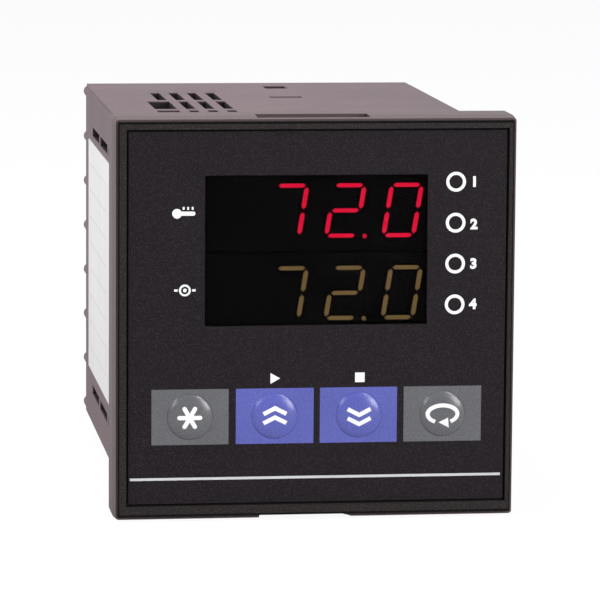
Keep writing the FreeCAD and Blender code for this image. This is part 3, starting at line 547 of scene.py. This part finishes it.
def print_pads():
    """The coloured field round each key, with a hole for its dome."""
    for key, (left, right) in PADS.items():
        middle = KEY_CENTRES[key]
        hole = circle(middle.x, middle.z, DOME_RADIUS + PAD_CLEARANCE, count=96)
        plates("pad_" + key, [[rectangle(left, right, PAD_LOW, PAD_HIGH), hole]], KEY_COLOURS[key])


def print_lights():
    """A ring and a number for each status light."""
    lights = {number: centre(f"status_light_{number}") for number in STATUS_LIGHTS}
    rings = [[circle(light.x, light.z, radius) for radius in (RING_OUTER, RING_INNER)]
             for light in lights.values()]
    plates("light_rings", rings, "white_print")
    for number, light in lights.items():
        numeral(f"light_number_{number}", str(number), light.x + NUMBER_OFFSET, light.z, NUMBER_HEIGHT)


def thermometer(left, z):
    """A thermometer lying down: a round bulb, a stem and three scale marks above it."""
    length, bulb, stem, drop = 5.0, 1.15, 0.5, 0.25
    axis = z - drop
    opening = 26                    # degrees each side of the axis, where the stem leaves the bulb
    outline = arc(left + bulb, axis, bulb, bulb, opening, 360 - opening, 40)
    outline += arc(left + length, axis, stem, stem, -90, 90, 12)
    first, pitch, width, low, high = 2.5, 1.05, 0.45, 0.65, 1.35
    starts = [left + first + pitch * i for i in range(3)]
    return [[outline]] + [[rectangle(x, x + width, z + low, z + high)] for x in starts]


def target(left, z):
    """A set-point symbol: a ring round a dot, between two short bars."""
    length, bar, half = 5.1, 0.85, 0.27
    outer, inner, spot = 1.4, 0.9, 0.45
    middle = left + length / 2
    ring = [circle(middle, z, outer), circle(middle, z, inner)]
    dot = [circle(middle, z, spot, count=24)]
    return [ring, dot] + [[rectangle(x, x + bar, z - half, z + half)] for x in (left, left + length - bar)]


def print_symbols():
    """The symbols beside the two displays and over the two blue keys."""
    plates("measured_symbol", thermometer(*THERMOMETER), "white_print")
    plates("target_symbol", target(*TARGET), "white_print")
    half = START_HEIGHT / 2
    triangle = [(START_LEFT, SIGN_Z + half), (START_LEFT, SIGN_Z - half), (START_LEFT + SIGN_WIDTH, SIGN_Z)]
    plates("start_symbol", [[triangle]], "white_print")
    half = SIGN_WIDTH / 2
    square = rectangle(STOP_LEFT, STOP_LEFT + SIGN_WIDTH, SIGN_Z - half, SIGN_Z + half)
    plates("stop_symbol", [[square]], "white_print")


# ---------------------------------------------------------------- key domes and icons

def dome_height(radius):
    """How far a key dome stands out of the film at a distance from its centre."""
    crown, edge = 2.4, 0.7          # higher makes the top broader, lower makes the edge steeper
    share = min(1.0, radius / DOME_RADIUS)
    return DOME_HEIGHT * (1.0 - share ** crown) ** edge


def add_dome(key, count=96):
    """The film's embossed dome over a key: a turned shell that follows the key."""
    middle = KEY_CENTRES[key]
    bm = bmesh.new()
    rows = [[bm.verts.new((middle.x, PRINT_FACE - DOME_HEIGHT, middle.z))]]
    for radius in DOME_RINGS:
        y = PRINT_FACE - dome_height(radius)
        rows.append([bm.verts.new((x, y, z)) for x, z in circle(middle.x, middle.z, radius, count)])
    rows.append([bm.verts.new((v.co.x, FILM_LOW.y + DOME_SKIRT, v.co.z)) for v in rows[-1]])
    for inner, outer in zip(rows, rows[1:]):
        for i in range(count):
            j = (i + 1) % count
            if len(inner) == 1:
                bm.faces.new((inner[0], outer[i], outer[j]))
            else:
                bm.faces.new((inner[i], outer[i], outer[j], inner[j]))
    bmesh.ops.recalc_face_normals(bm, faces=bm.faces[:])
    bm.faces.ensure_lookup_table()
    if bm.faces[0].normal.y > 0:
        bmesh.ops.reverse_faces(bm, faces=bm.faces[:])
    add_mesh("dome_" + key, bm, KEY_COLOURS[key], key + "_key", smooth=True)


def star(cx, cz, arm=2.98, half=0.52, bars=3, count=240):
    """An asterisk: bars with round ends through one centre, drawn as one star-shaped loop."""
    points = []
    straight = arm - half
    for i in range(count):
        angle = 2 * math.pi * i / count
        best = 0.0
        for bar in range(bars):
            turn = angle - math.pi * bar / bars
            along, across = abs(math.cos(turn)), abs(math.sin(turn))
            if across * straight > along * half:
                radius = half / across
            else:
                radius = straight * along + math.sqrt(max(0.0, half ** 2 - (straight * across) ** 2))
            best = max(best, radius)
        points.append((cx + best * math.cos(angle), cz + best * math.sin(angle)))
    return [[points]]


def chevrons(cx, cz, way):
    """Two nested chevrons, pointing up (way 1) or down (way -1)."""
    half_width, half_height, half_pitch, width = 2.75, 0.7, 1.1, 1.0
    shapes = []
    for lift in (half_pitch, -half_pitch):
        foot, tip = cz + way * (lift - half_height), cz + way * (lift + half_height)
        shapes.append([stroke([(cx - half_width, foot), (cx, tip), (cx + half_width, foot)], width)])
    return shapes


def return_arrow(cx, cz):
    """A flat loop open at the lower left, with its arrowhead at the bottom."""
    half_width, half_height, start, stop, width = 3.6, 2.1, 240, -58, 0.95
    loop = stroke(arc(cx, cz, half_width, half_height, start, stop, 40), width)
    head = [(cx - 1.0, cz - 1.95), (cx + 1.55, cz - 3.3), (cx + 1.3, cz - 0.85)]
    return [[loop], [head]]


def on_dome(middle):
    """Surface function of the print on a key's dome."""
    return lambda x, z: PRINT_FACE - INK - dome_height(math.hypot(x - middle.x, z - middle.z))


# Each key's icon: how it is drawn, its offset from the key's centre, and how often its edges are cut, so that
# it follows the dome.
ICONS = {
    "setup": (star, (-0.15, -0.05), 3),
    "up": (lambda cx, cz: chevrons(cx, cz, 1), (0.0, 0.2), 5),
    "down": (lambda cx, cz: chevrons(cx, cz, -1), (0.0, -0.3), 5),
    "enter": (return_arrow, (-0.05, 0.0), 3),
}


def print_icons():
    for key, (draw, (across, up), cuts) in ICONS.items():
        middle = KEY_CENTRES[key]
        plates("icon_" + key, draw(middle.x + across, middle.z + up), "white_print", key + "_key",
               on_dome(middle), cuts)


# ---------------------------------------------------------------- lit segments

SEGMENTS = {"0": "abcdef", "2": "abged", "7": "abc"}
READING = "72.0"


def bar_outline(width, ax, az, bx, bz):
    """A segment between two points: a bar with pointed ends, clear of its neighbours by the gap."""
    length = math.hypot(bx - ax, bz - az)
    ux, uz = (bx - ax) / length, (bz - az) / length
    half = width / 2
    outline = []
    for along, side in ((BAR_GAP, 0), (BAR_GAP + half, 1), (length - BAR_GAP - half, 1),
                        (length - BAR_GAP, 0), (length - BAR_GAP - half, -1), (BAR_GAP + half, -1)):
        outline.append((ax + ux * along - uz * half * side, az + uz * along + ux * half * side))
    return outline


def digit_segments(cx, cz, character):
    """Outlines of a seven-segment digit, leaning to the right at its top."""
    half = (DIGIT_WIDTH - BAR_UP) / 2
    tall = (DIGIT_HEIGHT - BAR_ACROSS) / 2
    ends = {
        "a": (-half, tall, half, tall), "g": (-half, 0, half, 0), "d": (-half, -tall, half, -tall),
        "f": (-half, 0, -half, tall), "b": (half, 0, half, tall),
        "e": (-half, -tall, -half, 0), "c": (half, -tall, half, 0),
    }
    shapes = []
    for name in SEGMENTS[character]:
        outline = bar_outline(BAR_ACROSS if name in "adg" else BAR_UP, *ends[name])
        shapes.append([(cx + x + z * SLANT, cz + z) for x, z in outline])
    return shapes


def reading_shapes(middle):
    """Outlines of the reading on a display, its digits in the last places, and of its point."""
    def across(place):
        return middle.x + (place - (DIGIT_PLACES - 1) / 2) * DIGIT_PITCH

    digits = READING.replace(".", "")
    first = DIGIT_PLACES - len(digits)
    shapes = []
    for place, character in enumerate(digits, start=first):
        shapes += digit_segments(across(place), middle.z, character)
    point_x = across(first + READING.index(".") - 1) + DIGIT_WIDTH / 2 + POINT_GAP
    shapes.append(circle(point_x, middle.z - DIGIT_HEIGHT / 2 + POINT_RISE, POINT_RADIUS, count=24))
    return shapes


def light_row(row, mat):
    """The reading on one display: closed convex shapes, bright inside and fading at their edges."""
    bm = bmesh.new()
    glow = bm.verts.layers.float.new("glow")
    front, back = DIGIT_PLANE - 0.06, DIGIT_PLANE - 0.01
    core, fade = 0.35, 0.38         # least share of a shape that is bright, and the width of its faded edge
    for outline in reading_shapes(centre(f"display_{row}_lens")):
        mx = sum(x for x, z in outline) / len(outline)
        mz = sum(z for x, z in outline) / len(outline)
        rows = []
        for bright, y, heat in ((False, back, 0.0), (False, front, 0.08), (True, front, 1.0)):
            verts = []
            for x, z in outline:
                keep = max(core, 1.0 - fade / math.hypot(x - mx, z - mz)) if bright else 1.0
                vert = bm.verts.new((mx + (x - mx) * keep, y, mz + (z - mz) * keep))
                vert[glow] = heat
                verts.append(vert)
            rows.append(verts)
        for outer, inner in zip(rows, rows[1:]):
            for i in range(len(outer)):
                j = (i + 1) % len(outer)
                bm.faces.new((outer[i], outer[j], inner[j], inner[i]))
        bm.faces.new(rows[-1])
        bm.faces.new(rows[0][::-1])
    bmesh.ops.recalc_face_normals(bm, faces=bm.faces[:])
    add_mesh("lit_" + row, bm, mat)


# ---------------------------------------------------------------- table on the side label

def label_face(y):
    """How far out the side label's face lies at a depth; the wall under it leans inwards."""
    return LABEL_FACE + (y - LABEL_FRONT) * LEAN


def print_label():
    """A plain ruled table on the side label, as thin closed bars that follow the label's lean."""
    half, width = 0.12, 0.25        # half a level rule's height, and an upright rule's width
    bars = []
    for row in range(TABLE_ROWS + 1):
        z = TABLE_LOW + row * (TABLE_HIGH - TABLE_LOW) / TABLE_ROWS
        bars.append((TABLE_FRONT, TABLE_REAR, z - half, z + half))
    for y in (TABLE_FRONT, TABLE_FRONT + TABLE_COLUMN, TABLE_REAR - width):
        bars.append((y, y + width, TABLE_LOW, TABLE_HIGH))
    bm = bmesh.new()
    for bar in bars:
        face, back = [[bm.verts.new((label_face(y) - out, y, z)) for y, z in rectangle(*bar)]
                      for out in (INK, 0.0)]
        bm.faces.new(face)
        bm.faces.new(back[::-1])
        for i in range(4):
            j = (i + 1) % 4
            bm.faces.new((face[i], back[i], back[j], face[j]))
    bmesh.ops.recalc_face_normals(bm, faces=bm.faces[:])
    add_mesh("label_table", bm, "label_ink")


# ---------------------------------------------------------------- stage, lights, camera, in metres

def seen_directly(tree):
    """How far a ray shows white: 1 for a camera ray, and for a glossy or transmission ray a share that grows
    from 0.1 in front of the object to 1 behind it."""
    path = tree.nodes.new("ShaderNodeLightPath")
    geometry = tree.nodes.new("ShaderNodeNewGeometry")
    parts = tree.nodes.new("ShaderNodeSeparateXYZ")
    tree.links.new(geometry.outputs["Position"], parts.inputs[0])
    behind = spread(tree, parts.outputs["Y"], 0.1, 1.0, -0.3, 0.6)
    bounced = calculate(tree, "MAXIMUM", path.outputs["Is Glossy Ray"], path.outputs["Is Transmission Ray"])
    bounced = calculate(tree, "MULTIPLY", bounced, behind)
    return calculate(tree, "MAXIMUM", path.outputs["Is Camera Ray"], bounced)


def mix_shaders(tree, factor, first, second, output):
    """Send the first shader where the factor is 0, and the second where it is 1, to an output node."""
    mix = tree.nodes.new("ShaderNodeMixShader")
    tree.links.new(factor, mix.inputs["Fac"])
    tree.links.new(first.outputs[0], mix.inputs[1])
    tree.links.new(second.outputs[0], mix.inputs[2])
    tree.links.new(mix.outputs[0], tree.nodes[output].inputs["Surface"])


def add_world():
    """A dim, slightly cool sky for light, and plain white where it is seen."""
    world = bpy.data.worlds.new("studio")
    bpy.context.scene.world = world
    world.use_nodes = True
    tree = world.node_tree
    sky = tree.nodes["Background"]
    sky.inputs["Color"].default_value = (0.96, 0.97, 1.0, 1.0)
    sky.inputs["Strength"].default_value = 0.16
    white = tree.nodes.new("ShaderNodeBackground")
    white.inputs["Color"].default_value = (1.0, 1.0, 1.0, 1.0)
    mix_shaders(tree, seen_directly(tree), sky, white, "World Output")


def add_floor(half=6.0):
    """A pale floor that takes a faint shadow and otherwise shows white."""
    mesh = bpy.data.meshes.new("floor")
    mesh.from_pydata([(x, y, FLOOR) for x, y in rectangle(-half, half, -half, half)], [], [(0, 1, 2, 3)])
    made = bpy.data.objects.new("floor", mesh)
    bpy.context.scene.collection.objects.link(made)
    mat, tree, shader = material("floor_white", (0.45, 0.45, 0.45), 0.9)
    white = tree.nodes.new("ShaderNodeEmission")
    white.inputs["Strength"].default_value = 1.1
    share = calculate(tree, "MULTIPLY", seen_directly(tree), 0.85)
    mix_shaders(tree, share, shader, white, "Material Output")
    mesh.materials.append(mat)


def add_light(name, place, aim, size, watts):
    """A soft rectangular light, turned to a point."""
    data = bpy.data.lights.new(name, "AREA")
    data.shape = "RECTANGLE"
    data.size, data.size_y = size
    data.energy = watts
    lamp = bpy.data.objects.new(name, data)
    lamp.location = place
    lamp.rotation_euler = (Vector(aim) - Vector(place)).to_track_quat("-Z", "Y").to_euler()
    bpy.context.scene.collection.objects.link(lamp)


def add_camera():
    """A long lens, a little to the left of the front and above it."""
    data = bpy.data.cameras.new("camera")
    data.sensor_width = 36.0
    data.lens = 246.5
    data.clip_end = 20.0
    camera = bpy.data.objects.new("camera", data)
    turn = Euler([math.radians(angle) for angle in CAMERA_TURN])
    camera.matrix_world = Matrix.Translation(CAMERA_PLACE) @ turn.to_matrix().to_4x4()
    bpy.context.scene.collection.objects.link(camera)
    bpy.context.scene.camera = camera


# ---------------------------------------------------------------- the whole scene

print_pads()
add_seams()
plates("lower_line", [[rectangle(*LINE)]], "grey_print")
print_lights()
print_symbols()
for key in KEY_COLOURS:
    add_dome(key)
print_icons()
light_row("upper", "red")
light_row("lower", "amber")
print_label()
dress_nodes()

add_world()
add_floor()
for name, settings in LIGHTS.items():
    add_light(name, *settings)
add_camera()
bpy.context.scene.view_settings.view_transform = "Standard"
